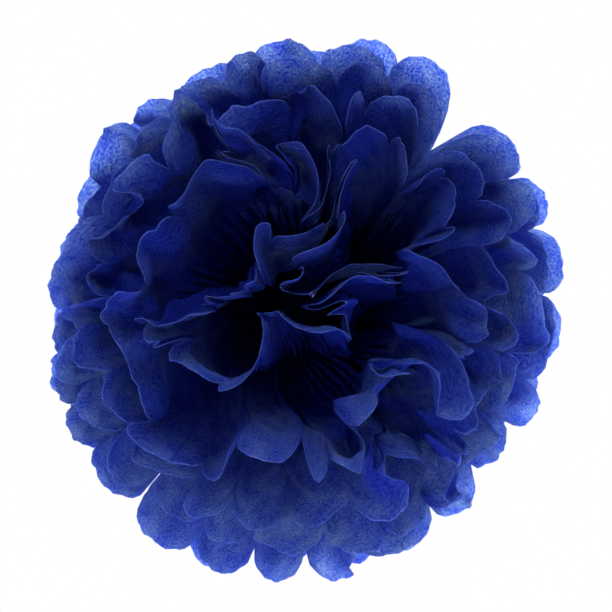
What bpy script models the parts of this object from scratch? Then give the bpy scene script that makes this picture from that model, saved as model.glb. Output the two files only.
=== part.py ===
"""Tissue paper pom pom, a fluffed ball of ten pleated sheets wired at the waist.

Each sheet is an oblong of tissue, pleated like an accordion, its pleat ends cut round. The ten are stacked,
bound across the middle with one twist of wire, opened into two half fans, and pulled apart: five towards the
front and five towards the back. Metres, +Z up, origin at the middle of the waist. The front faces -Y.
"""

import math
import random

import bmesh
import bpy
import numpy as np
from mathutils import Matrix

# Driving sizes of the cut and pleated tissue
PLEAT_WIDTH = 0.034
PLEATS = 12
PETAL_REACH = 0.121  # from the waist to a petal's tip
REACH_SPREAD = 0.06  # share by which the petals' lengths differ
TALLER = 0.022  # the ball stands this share higher than it is wide, each way
TISSUE = 0.0003  # one sheet, with its fuzz and fine wrinkles
CLEARANCE = 0.0003
SHEETS_A_SIDE = 5

# Driving sizes of the waist and of the wire round it
WAIST_WIDTH = 0.010
WAIST_HALF_DEPTH = 0.0012  # half of what the wire holds flat of the innermost sheet
SEAM_HALF_GAP = 0.0005  # between the two half fans, well out from the waist
SEAM_TAPER = (0.008, 0.018)  # where the fans close in on each other
WIRE = 0.0006
TAIL_LENGTH = 0.006
TAIL_TURNS = 1.5

# How the sheets stand once they are pulled apart, as angles out of the plane of the fans, innermost first
RISES = [math.radians(angle) for angle in (5.5, 24, 38, 53, 79)]
SWINGS = [math.radians(angle) for angle in (4, 6, 7, 9, 15)]  # the most that the rim wanders from that
LOW_START = 0.4  # share of its rise that a sheet has yet to gain where it leaves the waist
LIFT_FROM = (0.015, 0.110)  # from here to here out from the waist it gains it
LEAST_SPLIT = math.radians(6)  # what neighbouring sheets keep between them
MIDDLE_SPLIT = math.radians(2)  # what the two innermost keep from the plane between them
SOFT_SPLIT = math.radians(3)  # within which one sheet starts to press on the next
MOST_RISE = math.radians(87)
LEAST_OUT_SHARE = 0.25  # of the reach, that the steepest sheet still stands out from the middle
RISE_WITHIN = 0.020  # of the waist, where a sheet bends up
EVEN_WITHIN = 0.060  # of the waist, where the pleats still lie evenly

# An open petal faces out of the ball, and a shut one is turned edge on, and carries the rim in or out
OPEN_SHARE = 0.90  # of a pleat's width, that an open petal takes along the rim
SHUT_SHARE = 0.24
SHUT_SWING = 0.85  # share of its width that a shut petal carries the rim
CUP_MOST = 0.008  # how far a petal's middle may hollow
CURL = math.radians(4)  # of a petal's tip
WAVES = 3  # soft ones in each half fan
WAVE_LENGTH = (0.060, 0.140)
WAVE_SWING = math.radians(2)

# The seam where the half fans meet runs from upper right to lower left
SEAM_SLOPE = math.radians(50)
SEAM_OPENING = math.radians(0.5)
UPPER_SEAM_OPENING = math.radians(4.5)  # at the rim
SEAM_OPENS_FROM = 0.72  # share of the reach at which the upper end starts to open

# Soft whole-ball disorder: bends and turns that never make the sheets cross
BEND_SWING = math.radians(5)  # of all the sheets together, to the front and back
BENDS_ROUND = (2, 5)  # times round the ball
TWIST = math.radians(24)  # of each sheet by itself, which shuts the slots between the half fans
TWIST_FROM = (0.010, 0.030)  # out from the waist, where it grows
TWIST_BACK = (0.035, 0.100)  # and where it goes again
LEAN_OFF = math.radians(16)  # a wide swirl this far off the front, and the back, tips the middle over
LEAN_AZIMUTH = math.radians(200)
LEAN_WIDTH = math.radians(46)
LEAN_TURN = math.radians(40)
SWIRLS = 26
SWIRL_WIDTH = (math.radians(24), math.radians(42))
SWIRL_TURN = math.radians(22)
SEAM_STILL = math.radians(30)  # no swirl turns what is this near the seam's ends
CURLS = 11  # tighter swirls, on the front and on the back
CURLS_WITHIN = math.radians(52)
CURL_WIDTH = (math.radians(14), math.radians(22))
CURL_TURN = math.radians(26)
SWIRL_FROM = (0.022, 0.095)  # from here to here out from the waist they grow to their full turn
GOLDEN_TURN = math.pi * (3 - math.sqrt(5))  # spreads their axes evenly
SEED = 17

# Where a sheet has rows of points, as shares of the way from the waist to the foot of the round cut
INNER_ROWS = (0.25, 0.6, 1.0)
OUTER_ROWS = (0.2, 0.47, 0.75, 1.0)  # of the two sheets a side that are seen most
END_POINTS = 4

TISSUE_COLOUR = (0.005, 0.013, 0.18, 1.0)
WIRE_COLOUR = (0.22, 0.22, 0.23, 1.0)


def smooth(t):
    """0 to 1 with level ends, and flat outside that."""
    t = np.clip(t, 0.0, 1.0)
    return t * t * (3 - 2 * t)


def between(reach, ends):
    """How far reach has come from the first of two places to the second."""
    start, end = ends
    return smooth((reach - start) / (end - start))


def clear_scene():
    for obj in list(bpy.data.objects):
        bpy.data.objects.remove(obj)


def wave_list(chance, count, lengths):
    """Soft waves across the flat paper, as how fast each turns along it and up it, and where it starts."""
    found = []
    for _ in range(count):
        pitch = 2 * math.pi / chance.uniform(*lengths)
        slant = chance.uniform(0, 2 * math.pi)
        found.append((pitch * math.cos(slant), pitch * math.sin(slant), chance.uniform(0, 2 * math.pi)))
    return found


class Sheet:
    """One sheet of tissue: where it lies in the waist's stack, and how it is opened and pulled up."""

    def __init__(self, number, side, depth):
        self.number = number
        self.side = side  # 1 towards the front, -1 towards the back
        self.rows = OUTER_ROWS if depth >= SHEETS_A_SIDE - 2 else INNER_ROWS
        pitch = TISSUE + CLEARANCE
        outer = SHEETS_A_SIDE - 1 - depth  # depth is 0 next to the mid plane, growing outwards
        self.height = (depth + 0.5) * pitch
        self.half_waist = WAIST_WIDTH / 2 + outer * pitch
        self.half_depth = WAIST_HALF_DEPTH + outer * pitch
        self.rise = RISES[depth]
        self.most_swing = SWINGS[depth]
        self.twist = TWIST * random.Random(SEED * 100 + number).uniform(-1, 1)
        self.halves = {half: self.layout(half) for half in (1, -1)}

    def layout(self, half):
        """The petals of one half fan: open ones stay at a level, shut ones carry the rim in or out."""
        chance = random.Random(SEED * 1000 + self.number * 10 + half)
        rim = math.pi * (self.half_waist + PETAL_REACH * math.cos(self.rise)) / PLEAT_WIDTH
        opened = round((rim - SHUT_SHARE * PLEATS) / (OPEN_SHARE - SHUT_SHARE))
        opened = min(max(opened, 2), PLEATS)
        kinds = [True] * opened + [False] * (PLEATS - opened)
        chance.shuffle(kinds)
        levels = self.rim_levels(kinds, chance)
        out = np.maximum(np.cos(self.rise + (levels[1:] + levels[:-1]) / 2), LEAST_OUT_SHARE)
        open_widths = [OPEN_SHARE * chance.uniform(0.8, 1.2) for _ in kinds]
        shut_widths = [SHUT_SHARE * chance.uniform(0.6, 1.5) for _ in kinds]
        widths = np.where(kinds, open_widths, shut_widths) / out
        span = widths / widths.sum() * math.pi * out * PETAL_REACH
        chord = np.hypot(span, PETAL_REACH * np.diff(levels))
        slack = np.maximum(PLEAT_WIDTH / chord - 1, 0)
        hollow = chord * np.sqrt(3 / 8 * slack)  # the height of a shallow arch with that much slack
        facing = [chance.choice((-1, -1, -1, -1, 0.6)) * chance.uniform(0.6, 1.1) for _ in kinds]
        return {
            "waves": wave_list(chance, WAVES, WAVE_LENGTH),
            "share": np.concatenate([[0], np.cumsum(widths)]) / widths.sum(),
            "level": levels,
            "cup": np.array(facing) * np.minimum(hollow, CUP_MOST) / PETAL_REACH,
            "curl": np.array([CURL * chance.uniform(-1, 0.6) for _ in kinds]),
            "reach": np.array([1 + REACH_SPREAD * chance.uniform(-1, 0.6) for _ in kinds]),
        }

    def rim_levels(self, kinds, chance):
        """How far above or below the sheet's rise each crease ends, level with the other fan at the seam."""
        heading = chance.choice((-1, 1))
        step = SHUT_SWING * PLEAT_WIDTH / PETAL_REACH
        levels = [0]
        for is_open in kinds:
            if is_open:
                level = levels[-1] * chance.uniform(-0.2, 1) + self.most_swing * chance.uniform(-0.5, 0.5)
            else:
                level = levels[-1] + heading * step * chance.uniform(0.8, 1)
            if abs(level) > self.most_swing:
                heading = -heading
            levels.append(min(max(level, -self.most_swing), self.most_swing))
        return np.array(levels) - levels[-1] * np.linspace(0, 1, PLEATS + 1) ** 2

    def creases(self, half, reach):
        """The azimuth of each crease at each reach, one row of PLEATS + 1 for each."""
        share = self.halves[half]["share"]
        even = np.linspace(0, 1, PLEATS + 1)
        opened = smooth(reach / EVEN_WITHIN)[:, None]
        widening = between(reach, (SEAM_OPENS_FROM * PETAL_REACH, PETAL_REACH))[:, None]
        start = SEAM_OPENING + widening * (UPPER_SEAM_OPENING - SEAM_OPENING)
        return start + (math.pi - start - SEAM_OPENING) * (even + opened * (share - even))

    def wished_rise(self, half, pleat, across, reach):
        """The angle a point would have if no neighbour were in its way."""
        upper, lower = self.halves[1], self.halves[-1]
        level, cup, curl = (np.where(half > 0, upper[key][pleat], lower[key][pleat])
                            for key in ("level", "cup", "curl"))
        next_level = np.where(half > 0, upper["level"][pleat + 1], lower["level"][pleat + 1])
        outwards = smooth(reach / PETAL_REACH)
        zigzag = level * (1 - across) + next_level * across
        hollow = 4 * across * (1 - across) * (cup * outwards + curl * outwards**4)
        wave = 0
        along = (pleat + across) * PLEAT_WIDTH
        for side in (1, -1):
            for x, y, phase in self.halves[side]["waves"]:
                wave = wave + (half == side) * WAVE_SWING * np.sin(x * along + y * reach + phase)
        end_fade = smooth(3 * (pleat + across) / PLEATS) * smooth(3 * (PLEATS - pleat - across) / PLEATS)
        lifted = 1 - LOW_START * (1 - between(reach, LIFT_FROM))
        return ((self.rise + zigzag) * lifted + hollow + wave * end_fade) * smooth(reach / RISE_WITHIN)

    def twist_at(self, reach):
        return self.twist * between(reach, TWIST_FROM) * (1 - between(reach, TWIST_BACK))

    def rise_at(self, bearing, reach, below):
        """The angle at a bearing and reach, kept above the next sheet towards the mid plane."""
        own = (bearing - self.twist_at(reach) + math.pi) % (2 * math.pi) - math.pi
        half = np.where(own >= 0, 1, -1)
        creases = np.where(half[:, None] > 0, self.creases(1, reach), self.creases(-1, reach))
        azimuth = np.abs(own)
        pleat = np.clip((azimuth[:, None] >= creases[:, 1:-1]).sum(axis=1), 0, PLEATS - 1)
        rows = np.arange(len(pleat))
        low, high = creases[rows, pleat], creases[rows, pleat + 1]
        across = np.clip((azimuth - low) / (high - low), 0, 1)
        wished = self.wished_rise(half, pleat, across, reach)
        if below:
            floor = below[-1].rise_at(bearing, reach, below[:-1])
        else:
            floor = (MIDDLE_SPLIT - LEAST_SPLIT) * smooth(reach / RISE_WITHIN)
        split = LEAST_SPLIT * smooth(reach / RISE_WITHIN)
        spare = wished - floor - split
        kept = floor + split + (spare + np.sqrt(spare**2 + SOFT_SPLIT**2)) / 2
        return np.minimum(kept, MOST_RISE)

    def place(self, half, azimuth, reach, below):
        """Points of the sheet in the fans' own frame: X along the seam, Z towards the front."""
        twist = self.twist_at(reach)
        rise = self.rise_at(half * azimuth + twist, reach, below)
        out = reach * np.cos(rise)
        apart = self.half_depth + (SEAM_HALF_GAP - self.half_depth) * between(reach, SEAM_TAPER)
        x = (self.half_waist + out) * np.cos(azimuth)
        y = half * (apart + out * np.sin(azimuth))
        z = self.side * (self.height + reach * np.sin(rise))
        turned_x = x * np.cos(twist) - y * np.sin(twist)
        turned_y = x * np.sin(twist) + y * np.cos(twist)
        return np.stack([turned_x, turned_y, z], axis=1)


def off_front(off, azimuth, side):
    """The direction that lies off the front, or off the back, by an angle."""
    across = math.sin(off)
    return np.array([across * math.cos(azimuth), across * math.sin(azimuth), side * math.cos(off)])


def swirl_list():
    """(axis, width, turn) of each swirl: a lean, wide ones all over the ball, and curls front and back."""
    chance = random.Random(SEED)
    found = [(off_front(LEAN_OFF, LEAN_AZIMUTH, side), LEAN_WIDTH, LEAN_TURN) for side in (1, -1)]
    for number in range(SWIRLS):
        off = math.acos(1 - 2 * (number + 0.5) / SWIRLS)
        axis = off_front(off, number * GOLDEN_TURN + chance.uniform(-0.4, 0.4), 1)
        turn = SWIRL_TURN * chance.choice((-1, 1)) * chance.uniform(0.5, 1.2)
        still = smooth((math.acos(abs(axis[0])) - SEAM_STILL) / SEAM_STILL)
        found.append((axis, chance.uniform(*SWIRL_WIDTH), turn * still))
    for side in (1, -1):
        for number in range(CURLS):
            off = CURLS_WITHIN * math.sqrt((number + 0.5) / CURLS)
            axis = off_front(off, number * GOLDEN_TURN + chance.uniform(-0.4, 0.4), side)
            turn = CURL_TURN * chance.choice((-1, 1)) * chance.uniform(0.6, 1.2)
            found.append((axis, chance.uniform(*CURL_WIDTH), turn))
    return found


def swirled(points):
    """The points bent to the front and back by turns round the ball, and then turned by every swirl."""
    far = np.linalg.norm(points, axis=1)
    grown = between(far, SWIRL_FROM)
    flat = np.hypot(points[:, 0], points[:, 1])
    bend = sum(np.sin(count * np.arctan2(points[:, 1], points[:, 0]) + count) for count in BENDS_ROUND)
    bent = np.arctan2(points[:, 2], flat) + BEND_SWING * bend * grown * (flat / far) ** 2
    closer = far * np.cos(bent) / flat
    points = np.stack([points[:, 0] * closer, points[:, 1] * closer, far * np.sin(bent)], axis=1)
    for axis, width, turn in swirl_list():
        along = points @ axis
        off = np.arccos(np.clip(along / np.maximum(far, TISSUE), -1, 1))
        angle = turn * grown * np.maximum(1 - (off / width) ** 2, 0) ** 2
        cos, sin = np.cos(angle)[:, None], np.sin(angle)[:, None]
        points = points * cos + np.cross(axis, points) * sin + along[:, None] * axis * (1 - cos)
    return points


def half_fan_points(sheet, half, below):
    """Rows of points of one half fan, and the round ends' points, one list for each pleat."""
    laid = sheet.halves[half]
    foot = PETAL_REACH - PLEAT_WIDTH / 2
    rows = [[(pleat, 0.0, 0.0) for pleat in range(PLEATS)] + [(PLEATS - 1, 1.0, 0.0)]]
    for share in sheet.rows:
        row = [(pleat, across, share * foot) for pleat in range(PLEATS) for across in (0.0, 0.5)]
        rows.append([*row, (PLEATS - 1, 1.0, share * foot)])
    ends = []
    for pleat in range(PLEATS):
        slant = laid["share"][pleat : pleat + 2].mean() * math.pi * half + SEAM_SLOPE
        tip = PETAL_REACH * laid["reach"][pleat] * (1 - TALLER * math.cos(2 * slant))
        turns = [math.pi * (step + 1) / (END_POINTS + 1) for step in range(END_POINTS)]
        deep = tip - foot
        ends.append([(pleat, (1 - math.cos(turn)) / 2, foot + deep * math.sin(turn)) for turn in turns])
    places = [place for row in [*rows, *ends] for place in row]
    pleat, across, reach = (np.array(column) for column in zip(*places))
    creases = sheet.creases(half, reach)
    index = np.arange(len(pleat))
    azimuth = creases[index, pleat] * (1 - across) + creases[index, pleat + 1] * across
    points = swirled(sheet.place(half, azimuth, reach, below))
    cut = np.cumsum([len(row) for row in [*rows, *ends]])[:-1]
    pieces = np.split(points, cut)
    return pieces[: len(rows)], pieces[len(rows) :]


def sheet_mesh(sheet, below):
    """The pleated sheet's middle surface: a strip through the waist, and a half fan on each side of it."""
    build = bmesh.new()
    waist_rows = {}
    for half in (1, -1):
        rows, ends = half_fan_points(sheet, half, below)
        rows = [[build.verts.new(point) for point in row] for row in rows]
        ends = [[build.verts.new(point) for point in end] for end in ends]
        waist_rows[half] = rows[0]
        for pleat in range(PLEATS):
            left, middle, right = 2 * pleat, 2 * pleat + 1, 2 * pleat + 2
            near, first = rows[0], rows[1]
            build.faces.new((near[pleat], first[middle], first[left]))
            build.faces.new((near[pleat], near[pleat + 1], first[middle]))
            build.faces.new((near[pleat + 1], first[right], first[middle]))
            for inner, outer in zip(rows[1:], rows[2:]):
                build.faces.new((inner[left], inner[middle], outer[middle], outer[left]))
                build.faces.new((inner[middle], inner[right], outer[right], outer[middle]))
            last = rows[-1]
            rim = [last[left], *ends[pleat], last[right]]
            for one, other in zip(rim, rim[1:]):
                build.faces.new((last[middle], other, one))
    for pleat in range(PLEATS):
        one, other = waist_rows[1], waist_rows[-1]
        build.faces.new((one[pleat], one[pleat + 1], other[pleat + 1], other[pleat]))
    bmesh.ops.recalc_face_normals(build, faces=build.faces)
    mesh = bpy.data.meshes.new(f"tissue_sheet_{sheet.number:02d}")
    build.to_mesh(mesh)
    build.free()
    return mesh


def material(name, colour, roughness, metallic):
    made = bpy.data.materials.new(name)
    made.use_nodes = True
    made.diffuse_color = colour
    shader = made.node_tree.nodes["Principled BSDF"]
    shader.inputs["Base Color"].default_value = colour
    shader.inputs["Roughness"].default_value = roughness
    shader.inputs["Metallic"].default_value = metallic
    return made


def add_sheet(sheet, below, collection, frame, paper):
    """One sheet as a solid: its middle surface given the tissue's thickness."""
    mesh = sheet_mesh(sheet, below)
    obj = bpy.data.objects.new(mesh.name, mesh)
    collection.objects.link(obj)
    obj.parent = frame
    mesh.materials.append(paper)
    mesh.shade_smooth()
    mesh.set_sharp_from_angle(angle=math.radians(50))
    solid = obj.modifiers.new("thickness", "SOLIDIFY")
    solid.thickness = TISSUE
    solid.offset = 0
    return obj


def wire_path():
    """The binding wire's middle line: one twisted tail, round the waist, and the other tail."""
    pitch = TISSUE + CLEARANCE
    outward = WIRE / 2 + CLEARANCE + TISSUE / 2
    half_width = WAIST_WIDTH / 2 + (SHEETS_A_SIDE - 1) * pitch + outward
    half_height = (SHEETS_A_SIDE - 0.5) * pitch + outward
    twist = (WIRE + CLEARANCE) / 2
    tail_steps = 7
    tail = []
    for step in range(tail_steps + 1):
        share = step / tail_steps
        turn = math.pi / 2 - share * TAIL_TURNS * 2 * math.pi
        tail.append((share * TAIL_LENGTH, twist * math.cos(turn), twist * math.sin(turn)))
    neck = half_width + 2 * twist
    loop = []
    loop_steps = 14
    squareness = 0.5  # exponent of the superellipse that the wire follows round the oblong bundle
    for step in range(1, loop_steps):
        angle = 2 * math.pi * step / loop_steps
        cos, sin = math.cos(angle), math.sin(angle)
        x = half_width * math.copysign(abs(cos) ** squareness, cos)
        z = half_height * math.copysign(abs(sin) ** squareness, sin)
        loop.append((x, 0.0, z))
    out = [(neck + along, y, z) for along, y, z in reversed(tail)]
    back = [(neck + along, -y, -z) for along, y, z in tail]
    return [*out, *loop, *back]


def add_wire(collection, frame, steel):
    """The wire: a thin round rod bent round the waist, its two ends twisted together."""
    curve = bpy.data.curves.new("binding_wire", "CURVE")
    curve.dimensions = "3D"
    curve.bevel_depth = WIRE / 2
    curve.bevel_resolution = 1
    curve.use_fill_caps = True
    path = wire_path()
    spline = curve.splines.new("POLY")
    spline.points.add(len(path) - 1)
    for point, place in zip(spline.points, path):
        point.co = (*place, 1)
    curve.materials.append(steel)
    obj = bpy.data.objects.new("binding_wire", curve)
    collection.objects.link(obj)
    obj.parent = frame
    return obj


def fan_frame(collection):
    """An empty at the waist that turns the fans' frame to the hung ball's: front to -Y, seam aslant."""
    frame = bpy.data.objects.new("waist", None)
    collection.objects.link(frame)
    slope_cos, slope_sin = math.cos(SEAM_SLOPE), math.sin(SEAM_SLOPE)
    frame.matrix_world = Matrix(
        (
            (slope_cos, -slope_sin, 0, 0),
            (0, 0, -1, 0),
            (slope_sin, slope_cos, 0, 0),
            (0, 0, 0, 1),
        )
    )
    return frame


def main():
    clear_scene()
    collection = bpy.data.collections.new("tissue_pom_pom")
    bpy.context.scene.collection.children.link(collection)
    frame = fan_frame(collection)
    paper = material("tissue_paper", TISSUE_COLOUR, 0.85, 0.0)
    steel = material("wire_steel", WIRE_COLOUR, 0.45, 1.0)
    for side in (1, -1):
        below = []
        for depth in range(SHEETS_A_SIDE):
            outermost = SHEETS_A_SIDE - depth
            number = outermost if side > 0 else 2 * SHEETS_A_SIDE + 1 - outermost
            sheet = Sheet(number, side, depth)
            add_sheet(sheet, below, collection, frame, paper)
            below.append(sheet)
    add_wire(collection, frame, steel)


main()
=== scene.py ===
"""Looks of the tissue paper pom pom: ten pleated sheets of dyed tissue, and the wire that binds them."""

import math
import random

import bpy
import numpy as np
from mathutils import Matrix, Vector


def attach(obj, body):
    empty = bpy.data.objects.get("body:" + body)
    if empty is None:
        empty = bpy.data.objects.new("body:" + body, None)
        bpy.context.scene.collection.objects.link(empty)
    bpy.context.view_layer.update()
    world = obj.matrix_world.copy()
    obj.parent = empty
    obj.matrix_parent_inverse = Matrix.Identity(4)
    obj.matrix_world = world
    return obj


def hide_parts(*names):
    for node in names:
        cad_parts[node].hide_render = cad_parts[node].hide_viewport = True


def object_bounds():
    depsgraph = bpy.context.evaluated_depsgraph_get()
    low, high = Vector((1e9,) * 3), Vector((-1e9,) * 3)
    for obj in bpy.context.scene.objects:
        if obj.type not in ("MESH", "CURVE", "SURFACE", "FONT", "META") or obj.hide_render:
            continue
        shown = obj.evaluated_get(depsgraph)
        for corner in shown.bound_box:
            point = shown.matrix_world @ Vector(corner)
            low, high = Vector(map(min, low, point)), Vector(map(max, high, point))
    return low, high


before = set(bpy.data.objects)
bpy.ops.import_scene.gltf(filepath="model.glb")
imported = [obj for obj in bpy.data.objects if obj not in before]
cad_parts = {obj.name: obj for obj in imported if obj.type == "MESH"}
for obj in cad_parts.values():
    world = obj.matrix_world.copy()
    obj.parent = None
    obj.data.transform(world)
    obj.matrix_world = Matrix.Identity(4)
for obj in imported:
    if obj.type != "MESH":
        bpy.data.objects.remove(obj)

cad_low, cad_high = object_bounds()

# Tissue sheets
# Each is one oblong of dyed tissue, about 17 g/m2, pleated like an accordion across its width and cut round
# at both ends of every pleat. Ten lie in a stack that the wire grips at the middle. Opened out, each is two
# half fans, and then five are pulled towards the front and five towards the back.
SHEETS_A_SIDE = 5
PLEATS = 12
PLEAT_WIDTH = 0.034
PETAL_REACH = 0.121  # from the waist to a petal's tip
CUT_DEPTH = 0.0115  # of the round cut at a petal's end
PETAL_FOOT = PETAL_REACH - CUT_DEPTH
REACH_SPREAD = 0.06  # share by which the petals' lengths differ
TALLER = 0.022  # the ball stands this share higher than it is wide, each way
FLAT_WIDTH = PLEATS * PLEAT_WIDTH
FLAT_LENGTH = 2 * PETAL_REACH
TISSUE = 0.00012  # one sheet, with its fuzz
CUT_WAVES = (0.0061, 0.0093, 0.0148, 0.0272)  # lengths of the waves along the ragged cut
CUT_WANDER = 0.0003  # how far each wave takes the cut in and out
MILLIMETRES = 1000  # in a metre

# The waist, where the wire holds the stack flat
STACK_PITCH = 0.0006  # from one sheet to the next
WAIST_WIDTH = 0.010
WAIST_HALF_DEPTH = 0.0012  # half of what the wire holds flat of the innermost sheet
SEAM_HALF_GAP = 0.0001  # between the two half fans, well out from the waist
SEAM_TAPER = (0.008, 0.018)  # where the fans close in on each other

# How the sheets stand once they are pulled apart, as angles out of the plane of the fans, innermost first
RISES = [math.radians(angle) for angle in (5.5, 24, 38, 53, 79)]
SWINGS = [math.radians(angle) for angle in (4, 6, 7, 9, 15)]  # the most that the rim wanders from that
LOW_START = 0.4  # share of its rise that a sheet has yet to gain where it leaves the waist
LIFT_FROM = (0.015, 0.110)  # from here to here out from the waist it gains it
LEAST_SPLIT = math.radians(6)  # what neighbouring sheets keep between them
MIDDLE_SPLIT = math.radians(2)  # what the two innermost keep from the plane between them
SOFT_SPLIT = math.radians(3)  # within which one sheet starts to press on the next
MOST_RISE = math.radians(87)
LEAST_OUT_SHARE = 0.25  # of the reach, that the steepest sheet still stands out from the middle
RISE_WITHIN = 0.020  # of the waist, where a sheet bends up
EVEN_WITHIN = 0.060  # of the waist, where the pleats still lie evenly

# An open petal faces out of the ball, and a shut one is turned edge on, and carries the rim in or out
OPEN_SHARE = 0.90  # of a pleat's width, that an open petal takes along the rim
SHUT_SHARE = 0.24
SHUT_SWING = 0.85  # share of its width that a shut petal carries the rim
CUP_MOST = 0.008  # how far a petal's middle may hollow
CURL = math.radians(4)  # of a petal's tip
WAVES = 3  # soft ones in each half fan
WAVE_LENGTH = (0.060, 0.140)
WAVE_SWING = math.radians(2)
RIPPLES = 8  # shorter waves, over the whole sheet
RIPPLE_LENGTH = (0.016, 0.045)
RIPPLE_SWING = math.radians(1.1)
GATHER = math.radians(6.2)  # of the small sharp folds into which the wire draws the paper
GATHER_FADE = (0.030, 0.080)  # from here to here out from the waist they smooth out
GATHERS_A_PETAL = 4

# The seam where the half fans meet runs from upper right to lower left
SEAM_SLOPE = math.radians(50)
SEAM_OPENING = math.radians(0.5)  # of its lower end, at the rim
UPPER_SEAM_OPENING = math.radians(4.5)
SEAM_OPENS_FROM = 0.72  # share of the reach at which the upper end starts to open

# Soft disorder of the whole ball: bends and turns that move all that lies together alike
BEND_SWING = math.radians(5)  # of all the sheets together, to the front and back
BENDS_ROUND = (2, 5)  # times round the ball
TWIST = math.radians(24)  # of each sheet by itself, which shuts the slots between the half fans
TWIST_FROM = (0.002, 0.014)  # out from the waist, where it grows
TWIST_BACK = (0.035, 0.100)  # and where it goes again
LEAN_OFF = math.radians(16)  # a wide swirl this far off the front, and the back, tips the middle over
LEAN_AZIMUTH = math.radians(200)
LEAN_WIDTH = math.radians(46)
LEAN_TURN = math.radians(40)
SWIRLS = 26
SWIRL_WIDTH = (math.radians(24), math.radians(42))
SWIRL_TURN = math.radians(22)
SWIRL_FROM = (0.022, 0.095)  # from here to here out from the waist they grow to their full turn
SEAM_STILL = math.radians(30)  # no swirl or roll turns what is this near the seam's ends
CURLS = 11  # tighter swirls, on the front and on the back
CURLS_WITHIN = math.radians(52)
CURL_WIDTH = (math.radians(14), math.radians(22))
CURL_TURN = math.radians(26)
ROLLS = 110  # the tightest swirls, which roll the rims of a few petals at once
ROLL_WIDTH = (math.radians(10), math.radians(16))
ROLL_TURN = math.radians(50)
ROLL_FROM = (0.060, 0.118)
ROLLS_OFF_RIM = 0.3  # share of the way to the front, or the back, at which they have their full turn
AXIS_SCATTER = 0.4  # radians by which each swirl's axis is off its even place
GOLDEN_TURN = math.pi * (3 - math.sqrt(5))  # spreads the axes evenly
SEED = 17

# The grid that each flat sheet starts as
PETAL_COLUMNS = 18
PETAL_ROWS = 40
SHEET_COLUMNS = PLEATS * PETAL_COLUMNS
SHEET_ROWS = 2 * PETAL_ROWS + 1
SMOOTH_UP_TO = math.radians(55)  # a sharper fold shows as a crease

# The paper's colour by the light that falls on it and by the light that comes through, where thick and thin
DYE_THICK = (0.006, 0.012, 0.17, 1)
DYE_THIN = (0.013, 0.028, 0.38, 1)
GLOW_THICK = (0.11, 0.22, 0.80, 1)
GLOW_THIN = (0.58, 0.70, 0.83, 1)
THICK_TO_THIN = (0.38, 0.64)  # from here to here of the mottling
EDGE_HIGHLIGHT_COLOUR = (0.09, 0.15, 0.62, 1)  # painted highlight along the cut edge, lighter than the dye, where the edge would catch the light
# width of the painted highlight along the cut edge
EDGE_HIGHLIGHT_WIDTH = 0.0008


def smooth(t):
    """0 to 1 with level ends, and flat outside that."""
    t = np.clip(t, 0.0, 1.0)
    return t * t * (3 - 2 * t)


def between(reach, ends):
    """How far reach has come from the first of two places to the second."""
    start, end = ends
    return smooth((reach - start) / (end - start))


def wave_list(chance, count, lengths):
    """Soft waves across the flat paper, as how fast each turns along it and up it, and where it starts."""
    found = []
    for _ in range(count):
        pitch = 2 * math.pi / chance.uniform(*lengths)
        slant = chance.uniform(0, 2 * math.pi)
        found.append((pitch * math.cos(slant), pitch * math.sin(slant), chance.uniform(0, 2 * math.pi)))
    return found


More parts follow.
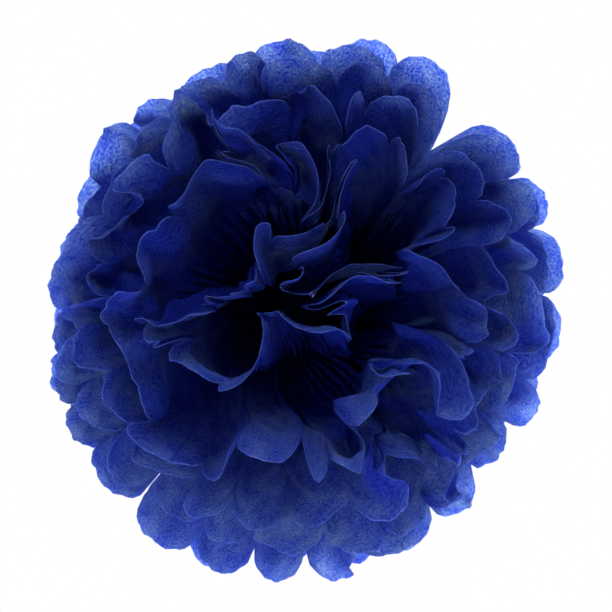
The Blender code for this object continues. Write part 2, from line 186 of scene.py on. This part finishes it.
class Sheet:
    """One sheet of tissue: where it lies in the waist's stack, and how it is opened and pulled up."""

    def __init__(self, number, side, depth):
        self.number = number
        self.side = side  # 1 towards the front, -1 towards the back
        outer = SHEETS_A_SIDE - 1 - depth  # depth is 0 next to the mid plane, growing outwards
        self.height = (depth + 0.5) * STACK_PITCH
        self.half_waist = WAIST_WIDTH / 2 + outer * STACK_PITCH
        self.half_depth = WAIST_HALF_DEPTH + outer * STACK_PITCH
        self.rise = RISES[depth]
        self.most_swing = SWINGS[depth]
        self.twist = TWIST * random.Random(SEED * 100 + number).uniform(-1, 1)
        self.ripples = wave_list(random.Random(SEED * 200 + number), RIPPLES, RIPPLE_LENGTH)
        self.halves = {half: self.layout(half) for half in (1, -1)}

    def layout(self, half):
        """The petals of one half fan: open ones stay at a level, shut ones carry the rim in or out."""
        chance = random.Random(SEED * 1000 + self.number * 10 + half)
        rim = math.pi * (self.half_waist + PETAL_REACH * math.cos(self.rise)) / PLEAT_WIDTH
        opened = round((rim - SHUT_SHARE * PLEATS) / (OPEN_SHARE - SHUT_SHARE))
        opened = min(max(opened, 2), PLEATS)
        kinds = [True] * opened + [False] * (PLEATS - opened)
        chance.shuffle(kinds)
        levels = self.rim_levels(kinds, chance)
        out = np.maximum(np.cos(self.rise + (levels[1:] + levels[:-1]) / 2), LEAST_OUT_SHARE)
        open_widths = [OPEN_SHARE * chance.uniform(0.8, 1.2) for _ in kinds]
        shut_widths = [SHUT_SHARE * chance.uniform(0.6, 1.5) for _ in kinds]
        widths = np.where(kinds, open_widths, shut_widths) / out
        span = widths / widths.sum() * math.pi * out * PETAL_REACH
        chord = np.hypot(span, PETAL_REACH * np.diff(levels))
        slack = np.maximum(PLEAT_WIDTH / chord - 1, 0)
        hollow = chord * np.sqrt(3 / 8 * slack)  # the height of a shallow arch with that much slack
        facing = [chance.choice((-1, -1, -1, -1, 0.6)) * chance.uniform(0.6, 1.1) for _ in kinds]
        return {
            "waves": wave_list(chance, WAVES, WAVE_LENGTH),
            "share": np.concatenate([[0], np.cumsum(widths)]) / widths.sum(),
            "level": levels,
            "cup": np.array(facing) * np.minimum(hollow, CUP_MOST) / PETAL_REACH,
            "curl": np.array([CURL * chance.uniform(-1, 0.6) for _ in kinds]),
            "reach": np.array([1 + REACH_SPREAD * chance.uniform(-1, 0.6) for _ in kinds]),
        }

    def rim_levels(self, kinds, chance):
        """How far above or below the sheet's rise each crease ends, level with the other fan at the seam."""
        heading = chance.choice((-1, 1))
        step = SHUT_SWING * PLEAT_WIDTH / PETAL_REACH
        levels = [0]
        for is_open in kinds:
            if is_open:
                level = levels[-1] * chance.uniform(-0.2, 1) + self.most_swing * chance.uniform(-0.5, 0.5)
            else:
                level = levels[-1] + heading * step * chance.uniform(0.8, 1)
            if abs(level) > self.most_swing:
                heading = -heading
            levels.append(min(max(level, -self.most_swing), self.most_swing))
        return np.array(levels) - levels[-1] * np.linspace(0, 1, PLEATS + 1) ** 2

    def creases(self, half, reach):
        """The azimuth of each crease at each reach, one row of PLEATS + 1 for each."""
        share = self.halves[half]["share"]
        even = np.linspace(0, 1, PLEATS + 1)
        opened = smooth(reach / EVEN_WITHIN)[:, None]
        widening = between(reach, (SEAM_OPENS_FROM * PETAL_REACH, PETAL_REACH))[:, None]
        end = SEAM_OPENING * smooth(reach / PETAL_REACH)[:, None]
        start = end + widening * (UPPER_SEAM_OPENING - SEAM_OPENING)
        return start + (math.pi - start - end) * (even + opened * (share - even))

    def wished_rise(self, half, pleat, across, reach):
        """The angle a point would have if no neighbour were in its way."""
        upper, lower = self.halves[1], self.halves[-1]
        level, cup, curl = (np.where(half > 0, upper[key][pleat], lower[key][pleat])
                            for key in ("level", "cup", "curl"))
        next_level = np.where(half > 0, upper["level"][pleat + 1], lower["level"][pleat + 1])
        outwards = smooth(reach / PETAL_REACH)
        zigzag = level * (1 - across) + next_level * across
        hollow = 4 * across * (1 - across) * (cup * outwards + curl * outwards**4)
        wave = 0
        along = (pleat + across) * PLEAT_WIDTH
        for side in (1, -1):
            for x, y, phase in self.halves[side]["waves"]:
                wave = wave + (half == side) * WAVE_SWING * np.sin(x * along + y * reach + phase)
        for x, y, phase in self.ripples:
            wave = wave + RIPPLE_SWING * outwards * np.sin(x * along + y * reach + phase + half)
        end_fade = smooth(3 * (pleat + across) / PLEATS) * smooth(3 * (PLEATS - pleat - across) / PLEATS)
        sharp_folds = 2 * abs(2 * ((across * GATHERS_A_PETAL) % 1) - 1) - 1
        gather = GATHER * (1 - between(reach, GATHER_FADE)) * sharp_folds
        lifted = 1 - LOW_START * (1 - between(reach, LIFT_FROM))
        wished = (self.rise + zigzag) * lifted + hollow + gather + wave * end_fade
        return wished * smooth(reach / RISE_WITHIN)

    def twist_at(self, reach):
        """How far the sheet is turned about the ball's middle, at each reach."""
        return self.twist * between(reach, TWIST_FROM) * (1 - between(reach, TWIST_BACK))

    def rise_at(self, bearing, reach, below):
        """The angle at a bearing and reach, kept above the next sheet towards the mid plane."""
        own = (bearing - self.twist_at(reach) + math.pi) % (2 * math.pi) - math.pi
        half = np.where(own >= 0, 1, -1)
        creases = np.where(half[:, None] > 0, self.creases(1, reach), self.creases(-1, reach))
        azimuth = np.abs(own)
        pleat = np.clip((azimuth[:, None] >= creases[:, 1:-1]).sum(axis=1), 0, PLEATS - 1)
        rows = np.arange(len(pleat))
        low, high = creases[rows, pleat], creases[rows, pleat + 1]
        across = np.clip((azimuth - low) / (high - low), 0, 1)
        wished = self.wished_rise(half, pleat, across, reach)
        if below:
            floor = below[-1].rise_at(bearing, reach, below[:-1])
        else:
            floor = (MIDDLE_SPLIT - LEAST_SPLIT) * smooth(reach / RISE_WITHIN)
        split = LEAST_SPLIT * smooth(reach / RISE_WITHIN)
        spare = wished - floor - split
        kept = floor + split + (spare + np.sqrt(spare**2 + SOFT_SPLIT**2)) / 2
        return np.minimum(kept, MOST_RISE)

    def place(self, half, azimuth, reach, below):
        """Points of the sheet in the fans' own frame: X along the seam, Z towards the front."""
        twist = self.twist_at(reach)
        rise = self.rise_at(half * azimuth + twist, reach, below)
        out = reach * np.cos(rise)
        apart = self.half_depth + (SEAM_HALF_GAP - self.half_depth) * between(reach, SEAM_TAPER)
        x = (self.half_waist + out) * np.cos(azimuth)
        y = half * (apart + out * np.sin(azimuth))
        z = self.side * (self.height + reach * np.sin(rise))
        turned_x = x * np.cos(twist) - y * np.sin(twist)
        turned_y = x * np.sin(twist) + y * np.cos(twist)
        return np.stack([turned_x, turned_y, z], axis=1)


def off_front(off, azimuth, side):
    """The direction that lies off the front, or off the back, by an angle."""
    across = math.sin(off)
    return np.array([across * math.cos(azimuth), across * math.sin(azimuth), side * math.cos(off)])


def swirl_list():
    """(axis, width, turn, where it grows) of each: a lean, wide swirls, curls front and back, and rolls."""
    chance = random.Random(SEED)
    rolling = random.Random(SEED + 1)
    lean_axes = [off_front(LEAN_OFF, LEAN_AZIMUTH, side) for side in (1, -1)]
    found = [(axis, LEAN_WIDTH, LEAN_TURN, SWIRL_FROM) for axis in lean_axes]
    for number in range(SWIRLS):
        off = math.acos(1 - 2 * (number + 0.5) / SWIRLS)
        axis = off_front(off, number * GOLDEN_TURN + chance.uniform(-AXIS_SCATTER, AXIS_SCATTER), 1)
        turn = SWIRL_TURN * chance.choice((-1, 1)) * chance.uniform(0.5, 1.2)
        still = smooth((math.acos(abs(axis[0])) - SEAM_STILL) / SEAM_STILL)
        found.append((axis, chance.uniform(*SWIRL_WIDTH), turn * still, SWIRL_FROM))
    for side in (1, -1):
        for number in range(CURLS):
            off = CURLS_WITHIN * math.sqrt((number + 0.5) / CURLS)
            axis = off_front(off, number * GOLDEN_TURN + chance.uniform(-AXIS_SCATTER, AXIS_SCATTER), side)
            turn = CURL_TURN * chance.choice((-1, 1)) * chance.uniform(0.6, 1.2)
            found.append((axis, chance.uniform(*CURL_WIDTH), turn, SWIRL_FROM))
    for number in range(ROLLS):
        off = math.acos(1 - 2 * (number + 0.5) / ROLLS)
        axis = off_front(off, number * GOLDEN_TURN + rolling.uniform(-AXIS_SCATTER, AXIS_SCATTER), 1)
        turn = ROLL_TURN * rolling.choice((-1, 1)) * rolling.uniform(0.5, 1.2)
        still = smooth((math.acos(abs(axis[0])) - SEAM_STILL) / SEAM_STILL)
        off_rim = smooth(abs(axis[2]) / ROLLS_OFF_RIM)
        found.append((axis, rolling.uniform(*ROLL_WIDTH), turn * still * off_rim, ROLL_FROM))
    return found


def swirled(points):
    """The points bent to the front and back by turns round the ball, and then turned by every swirl."""
    far = np.linalg.norm(points, axis=1)
    grown = between(far, SWIRL_FROM)
    flat = np.hypot(points[:, 0], points[:, 1])
    bend = sum(np.sin(count * np.arctan2(points[:, 1], points[:, 0]) + count) for count in BENDS_ROUND)
    bent = np.arctan2(points[:, 2], flat) + BEND_SWING * bend * grown * (flat / far) ** 2
    closer = far * np.cos(bent) / flat
    points = np.stack([points[:, 0] * closer, points[:, 1] * closer, far * np.sin(bent)], axis=1)
    for axis, width, turn, grows in swirl_list():
        along = points @ axis
        off = np.arccos(np.clip(along / np.maximum(far, TISSUE), -1, 1))
        angle = turn * between(far, grows) * np.maximum(1 - (off / width) ** 2, 0) ** 2
        cos, sin = np.cos(angle)[:, None], np.sin(angle)[:, None]
        points = points * cos + np.cross(axis, points) * sin + along[:, None] * axis * (1 - cos)
    return points


def flat_sheet(name):
    """The oblong as it comes off the roll, as a grid whose UV map is the flat paper."""
    bpy.ops.object.select_all(action="DESELECT")
    bpy.ops.mesh.primitive_grid_add(
        x_subdivisions=SHEET_COLUMNS, y_subdivisions=SHEET_ROWS, size=1, calc_uvs=True
    )
    obj = bpy.context.object
    obj.name = name
    return obj


def read_points(mesh):
    """The mesh's points, one row each."""
    points = np.zeros(len(mesh.vertices) * 3)
    mesh.vertices.foreach_get("co", points)
    return points.reshape(-1, 3)


def fold(obj, sheet, below):
    """Cuts the petals round, pleats the oblong and opens it, by moving each point of the grid."""
    flat = read_points(obj.data)
    column = np.rint((flat[:, 0] + 0.5) * SHEET_COLUMNS).astype(int)
    row = np.rint((flat[:, 1] + 0.5) * SHEET_ROWS).astype(int)
    folded = np.zeros_like(flat)
    for half in (1, -1):
        mine = row > PETAL_ROWS if half > 0 else row <= PETAL_ROWS
        steps = row[mine] - PETAL_ROWS - 1 if half > 0 else PETAL_ROWS - row[mine]
        pleat = np.minimum(column[mine] // PETAL_COLUMNS, PLEATS - 1)
        across = column[mine] / PETAL_COLUMNS - pleat
        laid = sheet.halves[half]
        slant = (laid["share"][pleat] + laid["share"][pleat + 1]) / 2 * math.pi * half + SEAM_SLOPE
        tip = PETAL_REACH * laid["reach"][pleat] * (1 - TALLER * np.cos(2 * slant))
        dome = np.sqrt(np.maximum(1 - (2 * across - 1) ** 2, 0))
        along = column[mine] / PETAL_COLUMNS * PLEAT_WIDTH
        starts = [half * sheet.number * length * MILLIMETRES for length in CUT_WAVES]
        waves = [np.sin(2 * math.pi * along / length + start) for length, start in zip(CUT_WAVES, starts)]
        ragged = sum(waves) * CUT_WANDER
        reach = (steps / PETAL_ROWS) * (PETAL_FOOT + (tip - PETAL_FOOT) * dome + ragged)
        creases = sheet.creases(half, reach)
        rows = np.arange(len(pleat))
        azimuth = creases[rows, pleat] * (1 - across) + creases[rows, pleat + 1] * across
        folded[mine] = swirled(sheet.place(half, azimuth, reach, below))
    seam_across, seam_up = math.cos(SEAM_SLOPE), math.sin(SEAM_SLOPE)
    upright = np.array([[seam_across, -seam_up, 0], [0, 0, -1], [seam_up, seam_across, 0]])
    obj.data.vertices.foreach_set("co", (folded @ upright.T).ravel())
    obj.data.update()


def thicken(obj):
    """Gives the folded sheet its own thickness, and shades it smooth between its creases."""
    bpy.ops.object.select_all(action="DESELECT")
    obj.select_set(True)
    bpy.context.view_layer.objects.active = obj
    solid = obj.modifiers.new("thickness", "SOLIDIFY")
    solid.thickness = TISSUE
    solid.offset = 0
    bpy.ops.object.modifier_apply(modifier=solid.name)
    bpy.ops.object.shade_smooth_by_angle(angle=SMOOTH_UP_TO)


def mottling(tree, flat_paper, scale, detail):
    """Cloudy noise laid over the flat paper, its scale given per millimetre."""
    noise = tree.nodes.new("ShaderNodeTexNoise")
    noise.inputs["Scale"].default_value = scale
    noise.inputs["Detail"].default_value = detail
    tree.links.new(flat_paper, noise.inputs["Vector"])
    return noise


def thick_to_thin(tree, mottled, thick, thin):
    """The paper's colour, from where its fibres lie thick to where they lie thin."""
    ramp = tree.nodes.new("ShaderNodeValToRGB")
    for stop, place, colour in zip(ramp.color_ramp.elements, THICK_TO_THIN, (thick, thin)):
        stop.position = place
        stop.color = colour
    tree.links.new(mottled, ramp.inputs["Fac"])
    return ramp.outputs["Color"]


def edge_highlight_mask(tree, uv_map):
    """Where the painted edge highlight goes: 1 at the cut ends of the flat paper, falling to 0 within the
    highlight's width.
    """
    ends = tree.nodes.new("ShaderNodeSeparateXYZ")
    tree.links.new(uv_map, ends.inputs["Vector"])
    from_middle = tree.nodes.new("ShaderNodeMath")
    from_middle.operation = "SUBTRACT"
    from_middle.inputs[1].default_value = 0.5
    tree.links.new(ends.outputs["Y"], from_middle.inputs[0])
    outwards = tree.nodes.new("ShaderNodeMath")
    outwards.operation = "ABSOLUTE"
    tree.links.new(from_middle.outputs["Value"], outwards.inputs[0])
    cut_edge = tree.nodes.new("ShaderNodeMapRange")
    cut_edge.interpolation_type = "SMOOTHSTEP"
    cut_edge.inputs["From Min"].default_value = 0.5 - EDGE_HIGHLIGHT_WIDTH / FLAT_LENGTH
    cut_edge.inputs["From Max"].default_value = 0.5
    tree.links.new(outwards.outputs["Value"], cut_edge.inputs["Value"])
    return cut_edge.outputs["Result"]


def paper_relief(tree, fibres, crumple):
    """The paper's fine fibre grain on top of its soft crumples."""
    crumpled = tree.nodes.new("ShaderNodeBump")
    crumpled.inputs["Strength"].default_value = 0.9
    crumpled.inputs["Distance"].default_value = 0.0025
    tree.links.new(crumple.outputs["Fac"], crumpled.inputs["Height"])
    grained = tree.nodes.new("ShaderNodeBump")
    grained.inputs["Strength"].default_value = 0.25
    grained.inputs["Distance"].default_value = 0.0002
    tree.links.new(fibres.outputs["Fac"], grained.inputs["Height"])
    tree.links.new(crumpled.outputs["Normal"], grained.inputs["Normal"])
    return grained.outputs["Normal"]


def tissue_material():
    """Dyed tissue: matte, mottled by its fibres, with a painted highlight along its cut ends, and thin
    enough to glow where light comes through.
    """
    made = bpy.data.materials.new("dyed_tissue")
    made.use_nodes = True
    tree = made.node_tree
    tree.nodes.clear()
    uv = tree.nodes.new("ShaderNodeUVMap")
    uv.uv_map = "UVMap"
    flat = tree.nodes.new("ShaderNodeMapping")
    flat.inputs["Scale"].default_value = (FLAT_WIDTH * MILLIMETRES, FLAT_LENGTH * MILLIMETRES, 1)
    tree.links.new(uv.outputs["UV"], flat.inputs["Vector"])
    fibres = mottling(tree, flat.outputs["Vector"], 0.9, 3)
    fibres.inputs["Roughness"].default_value = 0.6
    clouds = mottling(tree, flat.outputs["Vector"], 0.12, 2)
    crumple = mottling(tree, flat.outputs["Vector"], 0.13, 3)
    crumple.inputs["Distortion"].default_value = 0.6
    both = tree.nodes.new("ShaderNodeMix")
    both.inputs["Factor"].default_value = 0.3
    tree.links.new(fibres.outputs["Fac"], both.inputs["A"])
    tree.links.new(clouds.outputs["Fac"], both.inputs["B"])
    # painted highlight: a lighter blue mixed into the base colour along the paper's cut ends
    edge_highlighted = tree.nodes.new("ShaderNodeMix")
    edge_highlighted.data_type = "RGBA"
    edge_highlighted.inputs["B"].default_value = EDGE_HIGHLIGHT_COLOUR
    tree.links.new(edge_highlight_mask(tree, uv.outputs["UV"]), edge_highlighted.inputs["Factor"])
    tree.links.new(thick_to_thin(tree, both.outputs["Result"], DYE_THICK, DYE_THIN), edge_highlighted.inputs["A"])
    paper = tree.nodes.new("ShaderNodeBsdfPrincipled")
    paper.inputs["Roughness"].default_value = 0.8
    paper.inputs["Specular IOR Level"].default_value = 0.005
    tree.links.new(edge_highlighted.outputs["Result"], paper.inputs["Base Color"])
    tree.links.new(paper_relief(tree, fibres, crumple), paper.inputs["Normal"])
    glow = tree.nodes.new("ShaderNodeBsdfTranslucent")
    tree.links.new(thick_to_thin(tree, both.outputs["Result"], GLOW_THICK, GLOW_THIN), glow.inputs["Color"])
    mixed = tree.nodes.new("ShaderNodeMixShader")
    mixed.inputs["Fac"].default_value = 0.37
    tree.links.new(paper.outputs["BSDF"], mixed.inputs[1])
    tree.links.new(glow.outputs["BSDF"], mixed.inputs[2])
    output = tree.nodes.new("ShaderNodeOutputMaterial")
    tree.links.new(mixed.outputs["Shader"], output.inputs["Surface"])
    return made


tissue = tissue_material()
for side in (1, -1):
    below = []
    for depth in range(SHEETS_A_SIDE):
        number = SHEETS_A_SIDE - depth if side > 0 else SHEETS_A_SIDE + 1 + depth
        sheet = Sheet(number, side, depth)
        node = f"tissue_sheet_{number:02d}"
        piece = flat_sheet(f"tissue_{number:02d}")
        fold(piece, sheet, below)
        thicken(piece)
        piece.data.materials.append(tissue)
        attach(piece, "root")
        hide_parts(node)
        below.append(sheet)

# Binding wire
# A short length of thin soft steel wire, bent once round the waist of the stack and twisted on itself in the
# seam between the two half fans. Nothing of it shows unless the petals are parted.
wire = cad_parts["binding_wire"]
steel = bpy.data.materials.new("drawn_wire")
steel.use_nodes = True
drawn = steel.node_tree.nodes["Principled BSDF"]
drawn.inputs["Metallic"].default_value = 1.0
scratches = steel.node_tree.nodes.new("ShaderNodeTexNoise")
scratches.inputs["Scale"].default_value = 900
where = steel.node_tree.nodes.new("ShaderNodeTexCoord")
steel.node_tree.links.new(where.outputs["Object"], scratches.inputs["Vector"])
tone = steel.node_tree.nodes.new("ShaderNodeValToRGB")
tone.color_ramp.elements[0].color = (0.09, 0.09, 0.10, 1)
tone.color_ramp.elements[1].color = (0.22, 0.22, 0.23, 1)
steel.node_tree.links.new(scratches.outputs["Fac"], tone.inputs["Fac"])
steel.node_tree.links.new(tone.outputs["Color"], drawn.inputs["Base Color"])
gloss = steel.node_tree.nodes.new("ShaderNodeMapRange")
gloss.inputs["To Min"].default_value = 0.5
gloss.inputs["To Max"].default_value = 0.7
steel.node_tree.links.new(scratches.outputs["Fac"], gloss.inputs["Value"])
steel.node_tree.links.new(gloss.outputs["Result"], drawn.inputs["Roughness"])
wire.data.materials.clear()
wire.data.materials.append(steel)

# Stage
# The ball hangs over a plain pale floor in soft studio light, and the camera looks straight at its front.
FLOOR_DROP = 0.42
FLOOR_SIZE = 5
CAMERA_DISTANCE = 1.5
PHOTO_PIXELS = 612
BALL_PIXELS_WIDE = 519
BALL_CENTRE_PIXEL = (305, 310)
ROOM_LIGHT = 0.16
KEY_LIGHT = {"place": (0.35, -1.1, 1.3), "size": 0.45, "power": 13}
FILL_LIGHT = {"place": (-1.2, -0.8, 0.2), "size": 1.0, "power": 2}
BACK_LIGHT = {"place": (0.1, 1.6, 0.3), "size": 1.6, "power": 340}

bpy.ops.object.select_all(action="DESELECT")
bpy.ops.mesh.primitive_plane_add(size=FLOOR_SIZE, location=(0, 0, -FLOOR_DROP))
floor = bpy.context.object
floor.name = "studio_floor"
pale = bpy.data.materials.new("pale_floor")
pale.use_nodes = True
board = pale.node_tree.nodes["Principled BSDF"]
board.inputs["Base Color"].default_value = (0.86, 0.86, 0.86, 1)
board.inputs["Roughness"].default_value = 0.9
floor.data.materials.append(pale)

world = bpy.data.worlds.new("studio")
bpy.context.scene.world = world
world.use_nodes = True
world_nodes, world_links = world.node_tree.nodes, world.node_tree.links
soft = world_nodes["Background"]
soft.inputs["Color"].default_value = (1, 1, 1, 1)
soft.inputs["Strength"].default_value = ROOM_LIGHT
white = world_nodes.new("ShaderNodeBackground")
white.inputs["Color"].default_value = (1, 1, 1, 1)
white.inputs["Strength"].default_value = 1.0
path = world_nodes.new("ShaderNodeLightPath")
seen = world_nodes.new("ShaderNodeMixShader")
world_links.new(path.outputs["Is Camera Ray"], seen.inputs["Fac"])
world_links.new(soft.outputs["Background"], seen.inputs[1])
world_links.new(white.outputs["Background"], seen.inputs[2])
world_links.new(seen.outputs["Shader"], world_nodes["World Output"].inputs["Surface"])


def area_light(name, place, size, power):
    """A square lamp that faces the middle of the ball."""
    light = bpy.data.lights.new(name, "AREA")
    light.size = size
    light.energy = power
    obj = bpy.data.objects.new(name, light)
    bpy.context.scene.collection.objects.link(obj)
    obj.location = place
    obj.rotation_euler = (-Vector(place)).to_track_quat("-Z", "Y").to_euler()


area_light("key_light", **KEY_LIGHT)
area_light("fill_light", **FILL_LIGHT)
area_light("back_light", **BACK_LIGHT)

camera_data = bpy.data.cameras.new("camera")
camera = bpy.data.objects.new("camera", camera_data)
bpy.context.scene.collection.objects.link(camera)
bpy.context.scene.camera = camera
ball_width = cad_high.x - cad_low.x
view_width = ball_width * PHOTO_PIXELS / BALL_PIXELS_WIDE
camera_data.lens = camera_data.sensor_width * CAMERA_DISTANCE / view_width
camera.location = ((cad_low.x + cad_high.x) / 2, -CAMERA_DISTANCE, (cad_low.z + cad_high.z) / 2)
camera.rotation_euler = (math.pi / 2, 0, 0)
camera_data.shift_x = (PHOTO_PIXELS / 2 - BALL_CENTRE_PIXEL[0]) / PHOTO_PIXELS
camera_data.shift_y = (BALL_CENTRE_PIXEL[1] - PHOTO_PIXELS / 2) / PHOTO_PIXELS

bpy.context.scene.view_settings.view_transform = "Standard"
